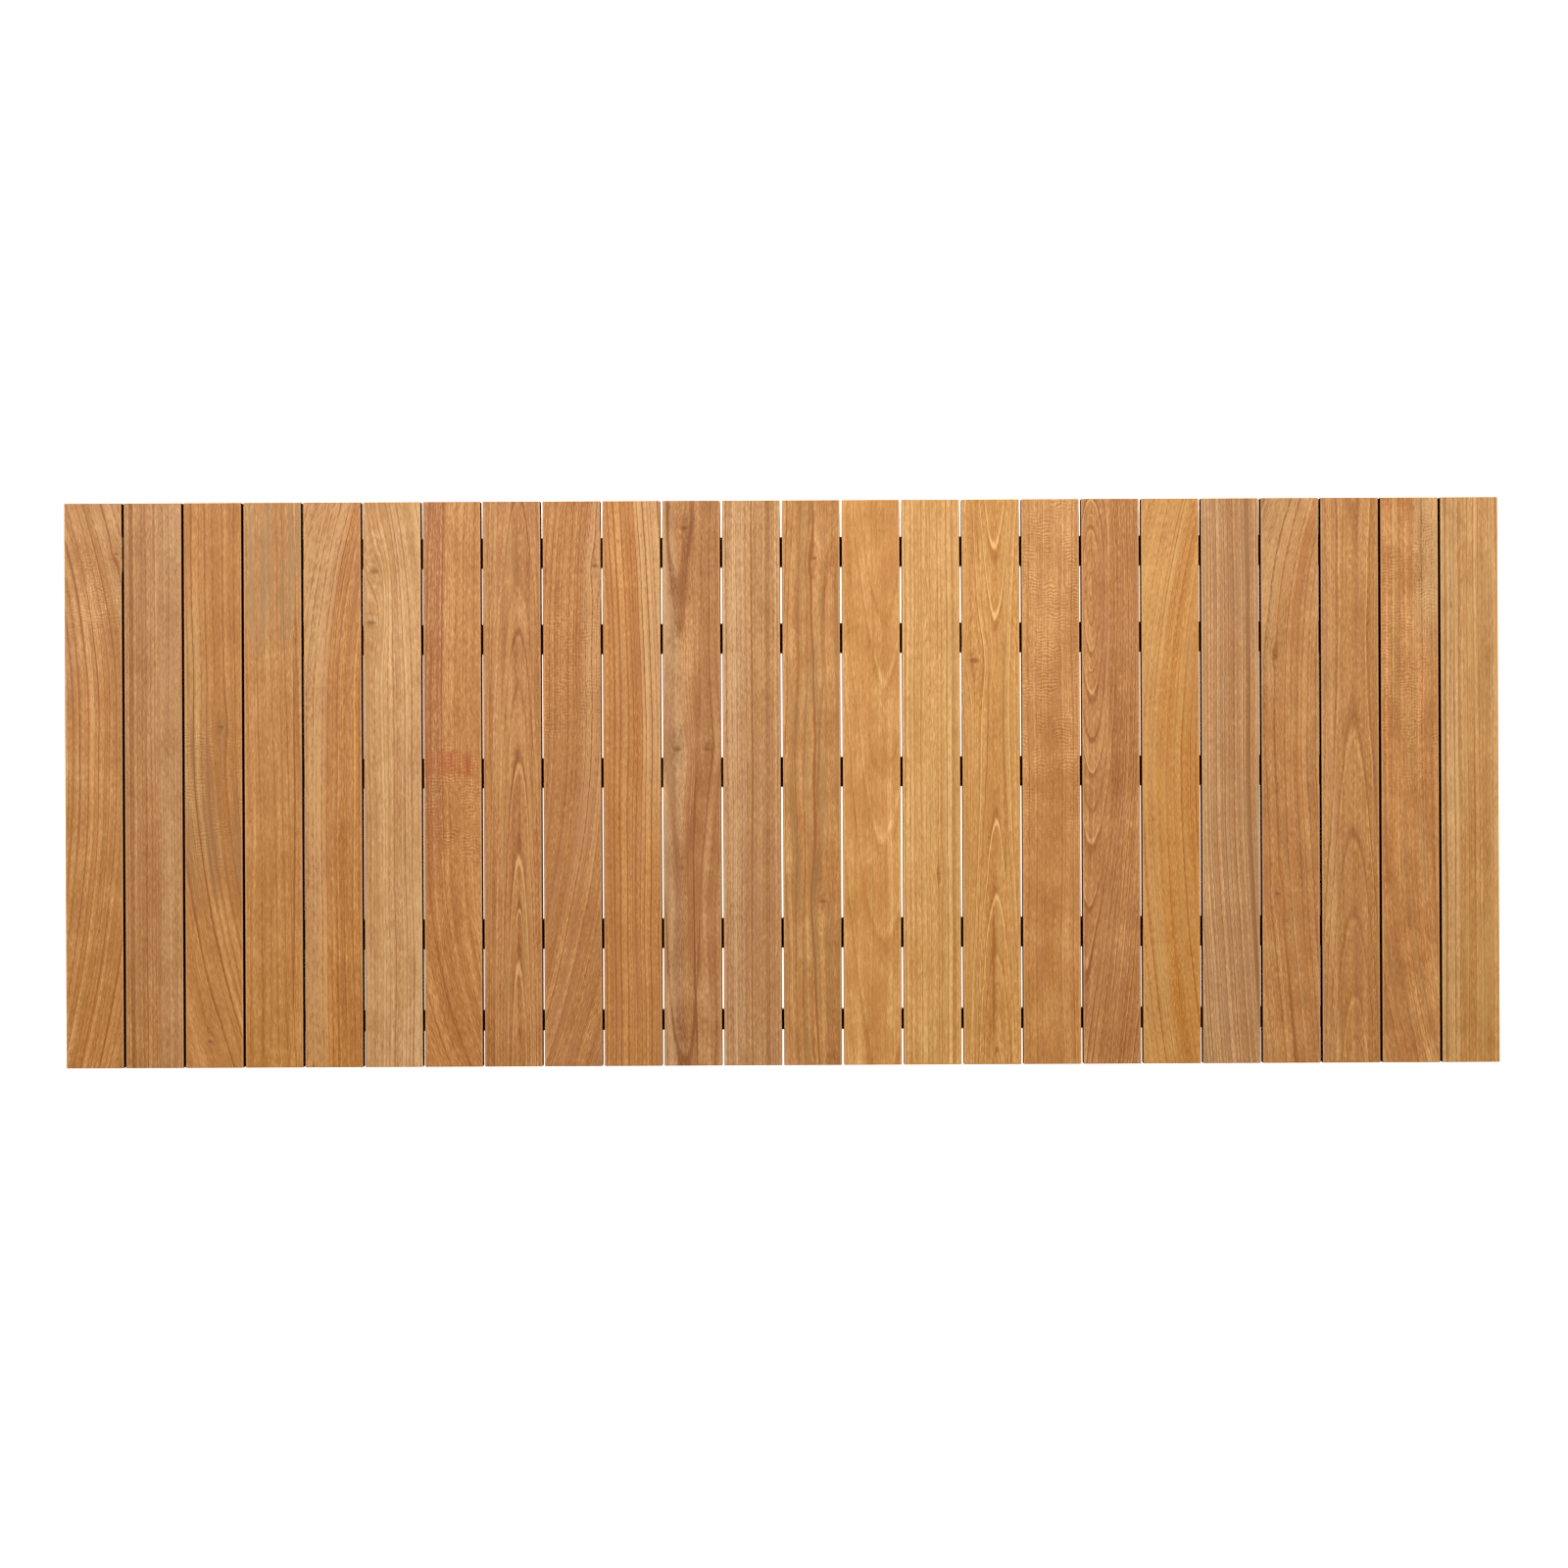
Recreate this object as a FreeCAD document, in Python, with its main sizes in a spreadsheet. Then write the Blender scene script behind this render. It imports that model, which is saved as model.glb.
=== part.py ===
import FreeCAD, Part
import os
import Sketcher
from FreeCAD import Vector

# A slatted teak bath mat. Hardwood slats lie side by side with a narrow drain gap between them.
# They are screwed from below to five battens that run the whole length of the mat, and the
# battens stand on rubber feet. Millimetres, +Z up. The origin is on the floor, under the middle
# of the mat. The slats run along Y, the battens and the long side of the mat along X.

SIZES = [
    # The deck
    ("slat_count", 24),
    ("slat_width", 61.5),
    ("slat_gap", 2),
    ("slat_length", 600),
    ("slat_thickness", 14),
    ("slat_arris", 1),  # rounding of the upper edges
    ("slat_lower_arris", 0.8),
    ("slat_corner", 1),  # rounding of the upright edges at the ends
    # The battens, and the places of their centre lines along Y
    ("batten_length", 1500),
    ("batten_thickness", 16),
    ("batten_width", 32),
    ("narrow_batten_width", 22),
    ("batten_upper_arris", 3),
    ("batten_lower_arris", 2),
    ("rear_outer_row", 246),
    ("rear_inner_row", 154),
    ("centre_row", 11.5),
    ("front_inner_row", -160),
    ("front_outer_row", -252),
    # The countersunk screws that hold the slats from below
    ("screw_length", 25),
    ("screw_head_diameter", 8),
    ("screw_core_diameter", 2.8),
    ("screw_crest_diameter", 4),
    ("screw_thread_pitch", 1.8),
    ("screw_thread_start", 9),
    ("screw_thread_turns", 7),
    ("screw_point_length", 3),
    ("screw_sunk", 0.6),  # the head lies this deep in the batten
    ("screw_clearance_diameter", 4.3),
    ("screw_pilot_diameter", 4.1),
    ("screw_pilot_depth", 10.5),
    # The rubber feet, in five bays along each batten: 5, 6, 6 and 5 slats apart
    ("foot_height", 5),
    ("foot_top_diameter", 18),
    ("foot_sole_diameter", 16),
    ("foot_bore_diameter", 3.4),
    ("foot_recess_diameter", 9),
    ("foot_recess_depth", 3),
    ("outer_bay_slats", 5),
    ("inner_bay_slats", 6),
    # The washer and the pan-head screw in each foot
    ("washer_diameter", 8.6),
    ("washer_thickness", 0.8),
    ("foot_screw_length", 12),
    ("foot_screw_diameter", 3),
    ("foot_screw_core_diameter", 2.2),
    ("foot_screw_thread_pitch", 1.3),
    ("foot_screw_thread_start", 3.6),
    ("foot_screw_thread_turns", 5),
    ("foot_screw_point_length", 2),
    ("foot_screw_head_diameter", 6),
    ("foot_screw_head_height", 1.5),
    ("foot_screw_head_rounding", 0.6),
    ("foot_pilot_diameter", 3.1),
    ("foot_pilot_depth", 9.8),
    # The cross recess of a screw head, as parts of the head's diameter
    ("recess_span", 0.56),
    ("recess_slot", 0.16),
    ("recess_depth", 0.17),
]

ROWS = ["rear_outer", "rear_inner", "centre", "front_inner", "front_outer"]
NARROW_ROWS = ["front_outer"]

PITCH = "(Sizes.slat_width + Sizes.slat_gap)"
BATTEN_TOP = "(Sizes.foot_height + Sizes.batten_thickness)"
OUTER_FOOT = "((Sizes.outer_bay_slats + Sizes.inner_bay_slats) * %s)" % PITCH

doc = FreeCAD.newDocument("BathMat")
sizes = doc.addObject("Spreadsheet::Sheet", "Sizes")
for line, (alias, number) in enumerate(SIZES, start=1):
    sizes.set("A%d" % line, alias)
    sizes.set("B%d" % line, str(number))
    sizes.setAlias("B%d" % line, alias)
doc.recompute()

pieces = []


def value(expression):
    """The number that an expression on the sheet's cells gives."""
    return float(sizes.evalExpression(expression))


def new_body(label):
    """An empty body; label is the piece's own name."""
    body = doc.addObject("PartDesign::Body", label)
    body.Label = label
    body.AllowCompound = True
    pieces.append(body)
    return body


def place(body, x="0", y="0", z="0"):
    """Stand a body in the mat, by expressions on the sheet."""
    body.setExpression("Placement.Base.x", x)
    body.setExpression("Placement.Base.y", y)
    body.setExpression("Placement.Base.z", z)


def origin_feature(body, role):
    """One of the body's own planes or axes."""
    return [f for f in body.Origin.OriginFeatures if f.Role == role][0]


def new_sketch(body, name, role="XY_Plane"):
    """A sketch on one of the body's own planes."""
    sketch = body.newObject("Sketcher::SketchObject", name)
    sketch.AttachmentSupport = (origin_feature(body, role), [""])
    sketch.MapMode = "FlatFace"
    return sketch


def bind(sketch, constraint, name, expression):
    """Add a dimension to a sketch and tie it to the sheet."""
    number = sketch.addConstraint(constraint)
    sketch.renameConstraint(number, name)
    sketch.setExpression("Constraints." + name, expression)


def outline(sketch, corners):
    """A closed outline through corners, each a pair of expressions. "0" puts it on the axis."""
    points = [Vector(value(across), value(up), 0) for across, up in corners]
    for start, end in zip(points, points[1:] + points[:1]):
        sketch.addGeometry(Part.LineSegment(start, end))
    for i, (across, up) in enumerate(corners):
        sketch.addConstraint(Sketcher.Constraint("Coincident", i, 2, (i + 1) % len(corners), 1))
        if across == "0":
            sketch.addConstraint(Sketcher.Constraint("PointOnObject", i, 1, -2))
        else:
            distance = Sketcher.Constraint("DistanceX", -1, 1, i, 1, points[i].x)
            bind(sketch, distance, "across_%d" % i, across)
        if up == "0":
            sketch.addConstraint(Sketcher.Constraint("PointOnObject", i, 1, -1))
        else:
            distance = Sketcher.Constraint("DistanceY", -1, 1, i, 1, points[i].y)
            bind(sketch, distance, "up_%d" % i, up)


def rectangle(sketch, width, length):
    """A rectangle about the sketch's origin."""
    corners = [("-%s / 2", "-%s / 2"), ("%s / 2", "-%s / 2"), ("%s / 2", "%s / 2"), ("-%s / 2", "%s / 2")]
    outline(sketch, [(across % width, up % length) for across, up in corners])


def circles(sketch, diameter, centres):
    """Circles of one diameter; centres are pairs of expressions."""
    for i, (across, up) in enumerate(centres):
        centre = Vector(value(across), value(up), 0)
        sketch.addGeometry(Part.Circle(centre, Vector(0, 0, 1), value(diameter) / 2))
        bind(sketch, Sketcher.Constraint("Diameter", i, value(diameter)), "bore_%d" % i, diameter)
        for kind, name, expression, number in (
            ("DistanceX", "across_%d" % i, across, centre.x),
            ("DistanceY", "up_%d" % i, up, centre.y),
        ):
            if expression == "0":
                axis = -2 if kind == "DistanceX" else -1
                sketch.addConstraint(Sketcher.Constraint("PointOnObject", i, 3, axis))
            else:
                bind(sketch, Sketcher.Constraint(kind, -1, 1, i, 3, number), name, expression)


def feature(body, kind, name, profile, **bound):
    """A feature on a sketch, with its lengths tied to the sheet."""
    made = body.newObject("PartDesign::" + kind, name)
    made.Profile = profile
    for prop, expression in bound.items():
        made.setExpression(prop, expression)
    return made


def turned(body, name, corners):
    """A solid of revolution about Z from an outline in the XZ plane."""
    sketch = new_sketch(body, name + "_outline", "XZ_Plane")
    outline(sketch, corners)
    turn = feature(body, "Revolution", name, sketch)
    turn.ReferenceAxis = (sketch, ["V_Axis"])
    turn.Angle = 360
    doc.recompute()
    return turn


def rounded(body, name, base, radius, chosen):
    """Round the edges of base for which chosen(edge) is true."""
    fillet = body.newObject("PartDesign::Fillet", name)
    edges = ["Edge%d" % n for n, e in enumerate(base.Shape.Edges, start=1) if chosen(e)]
    fillet.Base = (base, edges)
    fillet.setExpression("Radius", radius)
    doc.recompute()
    return fillet


def cut_deeper(body, before):
    """Stop if the last feature took nothing away."""
    doc.recompute()
    if body.Shape.Volume > before - 0.01:
        raise RuntimeError("%s: %s cuts nothing" % (body.Label, body.Tip.Label))


def bored(body, name, sketch, **bound):
    """Drill holes upwards from the underside, with a drill's pointed end."""
    before = body.Shape.Volume
    hole = feature(body, "Hole", name, sketch, **bound)
    hole.Reversed = True
    hole.ThreadType = "None"
    hole.DrillPoint = "Angled"
    cut_deeper(body, before)


def row_pattern(body, name, count, spacing):
    """Repeat the whole piece along X. spacing is one expression, or a list of distances."""
    pattern = body.newObject("PartDesign::LinearPattern", name)
    pattern.TransformMode = "Whole shape"
    pattern.Direction = (origin_feature(body, "X_Axis"), [""])
    pattern.Mode = "Spacing"
    pattern.setExpression("Occurrences", count)
    if isinstance(spacing, list):
        pattern.Spacings = spacing
    else:
        pattern.setExpression("Offset", spacing)
    body.Tip = pattern
    doc.recompute()


def is_level(edge, z):
    """True for an edge that lies at height z."""
    return abs(edge.BoundBox.ZMin - z) < 1e-6 and abs(edge.BoundBox.ZMax - z) < 1e-6


def is_upright(edge):
    """True for an edge that runs along Z."""
    return edge.BoundBox.XLength < 1e-6 and edge.BoundBox.YLength < 1e-6


def is_long_edge(edge, z):
    """True for an edge at height z that runs along X."""
    return is_level(edge, z) and edge.BoundBox.YLength < 1e-6


# --- The deck: slats, each with a pilot hole over every batten


def make_slat(number):
    """One slat, drilled from below. Its own origin is the middle of its underside."""
    body = new_body("slat_%02d" % number)
    board = new_sketch(body, "board")
    rectangle(board, "Sizes.slat_width", "Sizes.slat_length")
    plank = feature(body, "Pad", "plank", board, Length="Sizes.slat_thickness")
    doc.recompute()
    top = value("Sizes.slat_thickness")
    corners = rounded(body, "corners", plank, "Sizes.slat_corner", is_upright)
    upper = rounded(body, "upper_arris", corners, "Sizes.slat_arris", lambda e: is_level(e, top))
    rounded(body, "lower_arris", upper, "Sizes.slat_lower_arris", lambda e: is_level(e, 0))
    pilots = new_sketch(body, "pilots")
    circles(pilots, "Sizes.screw_pilot_diameter", [("0", "Sizes.%s_row" % row) for row in ROWS])
    doc.recompute()
    bored(body, "pilot_holes", pilots, Diameter="Sizes.screw_pilot_diameter", Depth="Sizes.screw_pilot_depth")
    place(body, x="(%d - (Sizes.slat_count + 1) / 2) * %s" % (number, PITCH), z=BATTEN_TOP)


# --- The battens, with a countersunk hole under every slat


def make_batten(row):
    """One batten. Its own origin is the middle of its underside."""
    body = new_body("batten_" + row)
    width = "Sizes.narrow_batten_width" if row in NARROW_ROWS else "Sizes.batten_width"
    plan = new_sketch(body, "plan")
    rectangle(plan, "Sizes.batten_length", width)
    bar = feature(body, "Pad", "bar", plan, Length="Sizes.batten_thickness")
    doc.recompute()
    top = value("Sizes.batten_thickness")
    upper = rounded(body, "upper_arris", bar, "Sizes.batten_upper_arris", lambda e: is_long_edge(e, top))
    rounded(body, "lower_arris", upper, "Sizes.batten_lower_arris", lambda e: is_long_edge(e, 0))
    first = new_sketch(body, "first_screw_hole")
    circles(first, "Sizes.screw_clearance_diameter", [("-(Sizes.slat_count - 1) / 2 * %s" % PITCH, "0")])
    doc.recompute()
    before = body.Shape.Volume
    hole = body.newObject("PartDesign::Hole", "screw_hole")
    hole.Profile = first
    hole.Reversed = True
    hole.ThreadType = "None"
    hole.DepthType = "ThroughAll"
    hole.HoleCutType = "Countersink"
    hole.HoleCutCustomValues = True
    hole.HoleCutCountersinkAngle = 90
    hole.setExpression("Diameter", "Sizes.screw_clearance_diameter")
    hole.setExpression("HoleCutDiameter", "Sizes.screw_head_diameter + 2 * Sizes.screw_sunk")
    cut_deeper(body, before)
    before = body.Shape.Volume
    holes = body.newObject("PartDesign::LinearPattern", "screw_holes")
    holes.Originals = [hole]
    holes.Direction = (origin_feature(body, "X_Axis"), [""])
    holes.Mode = "Spacing"
    holes.setExpression("Occurrences", "Sizes.slat_count")
    holes.setExpression("Offset", PITCH)
    body.Tip = holes
    cut_deeper(body, before)
    feet = new_sketch(body, "foot_places")
    inner_foot = "Sizes.inner_bay_slats * %s" % PITCH
    places = ["-" + OUTER_FOOT, "-" + inner_foot, "0", inner_foot, OUTER_FOOT]
    circles(feet, "Sizes.foot_pilot_diameter", [(across, "0") for across in places])
    doc.recompute()
    bored(body, "foot_pilots", feet, Diameter="Sizes.foot_pilot_diameter", Depth="Sizes.foot_pilot_depth")
    place(body, y="Sizes.%s_row" % row, z="Sizes.foot_height")


# --- Screws: a turned blank, ridges for the thread, and a cross recess in the head


def cut_recess(body, head_diameter):
    """A cross recess in the head's face, which looks down at z = 0."""
    span = "Sizes.recess_span * %s / 2" % head_diameter
    slot = "Sizes.recess_slot * %s / 2" % head_diameter
    corners = [
        (span, slot), (slot, slot), (slot, span), ("-" + slot, span), ("-" + slot, slot), ("-" + span, slot),
        ("-" + span, "-" + slot), ("-" + slot, "-" + slot), ("-" + slot, "-" + span),
        (slot, "-" + span), (slot, "-" + slot), (span, "-" + slot),
    ]
    cross = new_sketch(body, "cross")
    outline(cross, corners)
    before = body.Shape.Volume
    recess = feature(body, "Pocket", "recess", cross, Length="Sizes.recess_depth * %s" % head_diameter)
    recess.Reversed = True
    cut_deeper(body, before)


def cut_thread(body, core, crest, start, pitch, turns):
    """Thread ridges, one ring to a turn, from the first at height start."""
    root = "(%s / 2 - 0.15 * %s)" % (core, pitch)
    ridge = turned(body, "ridge", [
        (root, start),
        ("%s / 2" % crest, "%s + %s * 0.45" % (start, pitch)),
        (root, "%s + %s * 0.9" % (start, pitch)),
    ])
    thread = body.newObject("PartDesign::LinearPattern", "thread")
    thread.Originals = [ridge]
    thread.Direction = (origin_feature(body, "Z_Axis"), [""])
    thread.Mode = "Spacing"
    thread.setExpression("Occurrences", turns)
    thread.setExpression("Offset", pitch)
    body.Tip = thread
    doc.recompute()


def make_deck_screws(row):
    """The countersunk screws of one batten, one under each slat, heads down."""
    body = new_body("deck_screws_" + row)
    core = "Sizes.screw_core_diameter / 2"
    turned(body, "blank", [
        ("0", "0"),
        ("Sizes.screw_head_diameter / 2", "0"),
        (core, "Sizes.screw_head_diameter / 2 - " + core),
        (core, "Sizes.screw_length - Sizes.screw_point_length"),
        ("0", "Sizes.screw_length"),
    ])
    cut_thread(
        body, "Sizes.screw_core_diameter", "Sizes.screw_crest_diameter",
        "Sizes.screw_thread_start", "Sizes.screw_thread_pitch", "Sizes.screw_thread_turns",
    )
    cut_recess(body, "Sizes.screw_head_diameter")
    row_pattern(body, "row", "Sizes.slat_count", PITCH)
    place(
        body, x="-(Sizes.slat_count - 1) / 2 * %s" % PITCH,
        y="Sizes.%s_row" % row, z="Sizes.foot_height + Sizes.screw_sunk",
    )


# --- Feet: rubber, each with a washer and a pan-head screw in its recess


def feet_pattern(body):
    """Repeat a piece at the five feet of a batten, from the outermost on the left."""
    outer = value("Sizes.outer_bay_slats * " + PITCH)
    inner = value("Sizes.inner_bay_slats * " + PITCH)
    row_pattern(body, "row", "5", [outer, inner, inner, outer])


def make_feet(row):
    """The rubber feet of one batten."""
    body = new_body("feet_" + row)
    bore = "Sizes.foot_bore_diameter / 2"
    recess = "Sizes.foot_recess_diameter / 2"
    turned(body, "foot", [
        (bore, "Sizes.foot_recess_depth"),
        (recess, "Sizes.foot_recess_depth"),
        (recess, "0"),
        ("Sizes.foot_sole_diameter / 2", "0"),
        ("Sizes.foot_top_diameter / 2", "Sizes.foot_height"),
        (bore, "Sizes.foot_height"),
    ])
    feet_pattern(body)
    place(body, x="-" + OUTER_FOOT, y="Sizes.%s_row" % row)


def make_foot_washers(row):
    """The washers that spread each foot screw's load on the rubber."""
    body = new_body("foot_washers_" + row)
    bore = "Sizes.foot_bore_diameter / 2"
    rim = "Sizes.washer_diameter / 2"
    turned(body, "washer", [(bore, "0"), (rim, "0"), (rim, "Sizes.washer_thickness"), (bore, "Sizes.washer_thickness")])
    feet_pattern(body)
    place(body, x="-" + OUTER_FOOT, y="Sizes.%s_row" % row, z="Sizes.foot_recess_depth - Sizes.washer_thickness")


def make_foot_screws(row):
    """The pan-head screws of one batten's feet, heads down."""
    body = new_body("foot_screws_" + row)
    core = "Sizes.foot_screw_core_diameter / 2"
    head = "Sizes.foot_screw_head_diameter / 2"
    height = "Sizes.foot_screw_head_height"
    turned(body, "blank", [
        ("0", "0"),
        (head + " - Sizes.foot_screw_head_rounding", "0"),
        (head, "Sizes.foot_screw_head_rounding"),
        (head, height),
        (core, height),
        (core, height + " + Sizes.foot_screw_length - Sizes.foot_screw_point_length"),
        ("0", height + " + Sizes.foot_screw_length"),
    ])
    cut_thread(
        body, "Sizes.foot_screw_core_diameter", "Sizes.foot_screw_diameter",
        "Sizes.foot_screw_thread_start", "Sizes.foot_screw_thread_pitch", "Sizes.foot_screw_thread_turns",
    )
    cut_recess(body, "Sizes.foot_screw_head_diameter")
    feet_pattern(body)
    height_of_face = "Sizes.foot_recess_depth - Sizes.washer_thickness - " + height
    place(body, x="-" + OUTER_FOOT, y="Sizes.%s_row" % row, z=height_of_face)


for number in range(1, int(value("Sizes.slat_count")) + 1):
    make_slat(number)
for row in ROWS:
    make_batten(row)
    make_deck_screws(row)
    make_feet(row)
    make_foot_washers(row)
    make_foot_screws(row)
doc.recompute()

for item in doc.Objects:
    if "Invalid" in item.State or "Error" in item.State:
        raise RuntimeError("%s failed: %s" % (item.Label, item.State))

os.makedirs("parts", exist_ok=True)
for body in pieces:
    if body.Shape.isNull() or not body.Shape.isValid():
        raise RuntimeError(body.Label + " has no valid shape")
    body.Shape.exportStep("parts/%s.step" % body.Label)
    print("%-26s %3d solids %10.1f mm3" % (body.Label, len(body.Shape.Solids), body.Shape.Volume))
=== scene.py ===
# %% [markdown]
# # A slatted teak bath mat
#
# The mat is a small duckboard: slats side by side, screwed from below to battens that stand on
# rubber feet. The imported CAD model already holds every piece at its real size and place, so this
# script keeps those meshes and gives them their finish, a floor, a light and a camera. What makes
# the mat is its wood. No two slats are alike, so most of the lesson is about one thing: growing a
# log in shader nodes, and then cutting each slat from another part of it.

# %% Load the frame
import math
import bmesh
import bpy
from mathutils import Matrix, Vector


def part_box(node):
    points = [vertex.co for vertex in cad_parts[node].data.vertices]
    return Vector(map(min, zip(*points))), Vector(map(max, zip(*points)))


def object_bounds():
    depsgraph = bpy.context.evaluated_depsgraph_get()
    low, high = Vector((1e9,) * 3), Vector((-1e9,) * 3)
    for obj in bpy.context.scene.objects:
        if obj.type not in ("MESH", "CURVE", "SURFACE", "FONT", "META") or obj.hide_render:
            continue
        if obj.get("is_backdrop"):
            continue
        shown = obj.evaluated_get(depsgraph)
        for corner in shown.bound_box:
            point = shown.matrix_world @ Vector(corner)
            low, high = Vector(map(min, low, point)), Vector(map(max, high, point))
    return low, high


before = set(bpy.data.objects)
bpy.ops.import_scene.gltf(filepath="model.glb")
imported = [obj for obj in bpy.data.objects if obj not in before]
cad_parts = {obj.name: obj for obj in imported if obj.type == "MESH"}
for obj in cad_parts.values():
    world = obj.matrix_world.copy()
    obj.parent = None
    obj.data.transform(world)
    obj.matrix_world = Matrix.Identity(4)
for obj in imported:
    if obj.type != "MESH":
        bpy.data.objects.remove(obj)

cad_low, cad_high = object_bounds()
scene = bpy.context.scene
print("CAD box in mm:", [round(1000 * side) for side in cad_high - cad_low])

# %% [markdown]
# ## Two small helpers
#
# Colours are picked as sRGB hex values, the way a paint chart gives them, and Blender's sockets
# want linear light, so one function converts them. Shader graphs are long, so a second function
# adds any kind of node: its own properties are keywords, and its sockets are filled from a
# dictionary, with a number, a colour, or another node's output.

# %% Colour and node helpers
def linear(code):
    """An sRGB hex colour as linear red, green, blue and alpha."""
    parts = [int(code[i:i + 2], 16) / 255 for i in (0, 2, 4)]
    return [c / 12.92 if c <= 0.04045 else ((c + 0.055) / 1.055) ** 2.4 for c in parts] + [1.0]


def add(tree, kind, sockets, output=0, **settings):
    """Add a shader node with its settings and links, and return one of its outputs."""
    made = tree.nodes.new("ShaderNode" + kind)
    for name, setting in settings.items():
        setattr(made, name, setting)
    for name, given in sockets.items():
        if isinstance(given, bpy.types.NodeSocket):
            tree.links.new(given, made.inputs[name])
        else:
            made.inputs[name].default_value = given
    return made.outputs[output]


print("mid grey in linear light:", round(linear("808080")[0], 3))

# %% [markdown]
# ## The camera
#
# The mat is a flat thing, and it reads best from straight above. A long lens far away keeps the
# slats parallel and shows only a little of the slats' sides in the gaps, more of them towards the
# ends. The camera stands three fingers' width right of the middle, and a small lens shift brings
# the mat back to the middle of the frame. It is rolled by a quarter of a degree, which is how
# level a camera on a stand usually is.

# %% Camera
mat_width = (cad_high - cad_low).x
frame_share = 0.9146  # how much of the frame's width the mat takes
camera_height = 3.45  # above the deck
camera_right = 0.036  # from the mat's middle
frame_middle = (0.0022, -0.0015)  # the point of the deck in the middle of the frame
camera_roll = math.radians(-0.27)

view_width = mat_width / frame_share
camera = bpy.data.objects.new("camera", bpy.data.cameras.new("camera"))
camera.data.sensor_width = 36
camera.data.lens = camera.data.sensor_width * camera_height / view_width
camera.data.shift_x = (frame_middle[0] - camera_right) / view_width
camera.data.shift_y = frame_middle[1] / view_width
camera.data.clip_end = 50
camera.location = (camera_right, 0, cad_high.z + camera_height)
camera.rotation_euler = (0, 0, camera_roll)
scene.collection.objects.link(camera)
scene.camera = camera
print("lens in mm:", round(camera.data.lens, 1))

# %% [markdown]
# ## The floor
#
# A mat like this is shown on a plain white table. Plain white paint would look grey beside the
# brightly lit wood, and the drain gaps, which see little of the lamp, would go dark. The table
# therefore glows by itself, as an opal light table does. From below it is clear, so that the
# underside of the mat can be looked at too.

# %% Floor
floor_size = 30  # wide enough that its edge is far out of view
floor_shape = bmesh.new()
bmesh.ops.create_grid(floor_shape, x_segments=1, y_segments=1, size=floor_size / 2)
floor_mesh = bpy.data.meshes.new("floor")
floor_shape.to_mesh(floor_mesh)
floor_shape.free()
floor = bpy.data.objects.new("floor", floor_mesh)
scene.collection.objects.link(floor)
floor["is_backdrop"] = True
print("floor in m:", [round(side, 2) for side in floor.dimensions])

# %% Opal table
# Opal glass, ground matt and lit from inside, gives the eye an even white with no shine.
table_glow = 0.9

table = bpy.data.materials.new("ground opal glass")
table.use_nodes = True
tree = table.node_tree
tree.nodes.clear()
paint = add(tree, "BsdfDiffuse", {"Color": linear("ffffff")})
glow = add(tree, "Emission", {"Color": linear("ffffff"), "Strength": table_glow})
lit = add(tree, "AddShader", {0: paint, 1: glow})
clear = add(tree, "BsdfTransparent", {})
from_below = add(tree, "NewGeometry", {}, output="Backfacing")
surface = add(tree, "MixShader", {"Fac": from_below, 1: lit, 2: clear})
table_end = tree.nodes.new("ShaderNodeOutputMaterial").inputs["Surface"]
tree.links.new(surface, table_end)
floor_mesh.materials.append(table)
print("table's own light:", table_glow)

# %% [markdown]
# ## The light
#
# One long soft lamp hangs behind and above the mat, a little warm, so the deck is brightest along
# its rear edge and falls off towards the front. The world fills in the rest. It is white at the
# horizon, where it meets the table without an edge, and dimmer overhead, so that the lamp still
# shapes the wood.

# %% Lamp
scene.view_settings.view_transform = "Standard"  # whites stay white

lamp_place = Vector((0, 1.3, 1.75))
lamp = bpy.data.lights.new("long soft light", "AREA")
lamp.shape = "RECTANGLE"
lamp.size = 2.6
lamp.size_y = 0.7
lamp.energy = 40
lamp.color = linear("fff3e2")[:3]
key = bpy.data.objects.new("long soft light", lamp)
key.location = lamp_place
key.rotation_euler = (-lamp_place).to_track_quat("-Z", "Y").to_euler()
scene.collection.objects.link(key)
print("lamp in W:", lamp.energy)

# %% World
horizon_light = 1.05
overhead_light = 0.38

world = bpy.data.worlds.new("studio")
world.use_nodes = True
sky = world.node_tree
background = sky.nodes["Background"].inputs
background["Color"].default_value = linear("ffffff")
outward = add(sky, "TexCoord", {}, output="Generated")
height = add(sky, "SeparateXYZ", {"Vector": outward}, output="Z")  # 0 level, 1 straight up
strength = add(sky, "MapRange", {"Value": height, "From Min": 0.02, "From Max": 0.4,
                                 "To Min": horizon_light, "To Max": overhead_light})
sky.links.new(strength, background["Strength"])
scene.world = world
print("world's light from the horizon up:", horizon_light, "to", overhead_light)

# %% [markdown]
# ## Teak: a log in nodes
#
# Finish: teak, sawn, planed and sanded, then lightly oiled. Such wood is satin, not glossy, and
# its colour runs from straw through honey to a pinkish brown.
#
# Wood could be an image, but an image looks the same on all sides and repeats. Here the grain is
# solid. Every point of a slat is first given in millimetres from the middle of the slat's upper
# face: across, along and up. Then it is placed in a log: the pith, the log's centre line, runs
# beside or below the slat, and the distance to it says which growth ring the point lies in. A
# pith far off to the side gives the straight lines of quarter-sawn wood. A pith close below the
# face, and not quite parallel to it, gives nested arches.
#
# The first group is a knot, the stump of a small branch. The fibres part around it, so the group
# draws a point's place towards the knot's centre line, and everything that is worked out later
# from that place flows round the knot. It also shades the knot: a dark eye, longer across the
# board than along it, in a faint halo.

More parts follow.
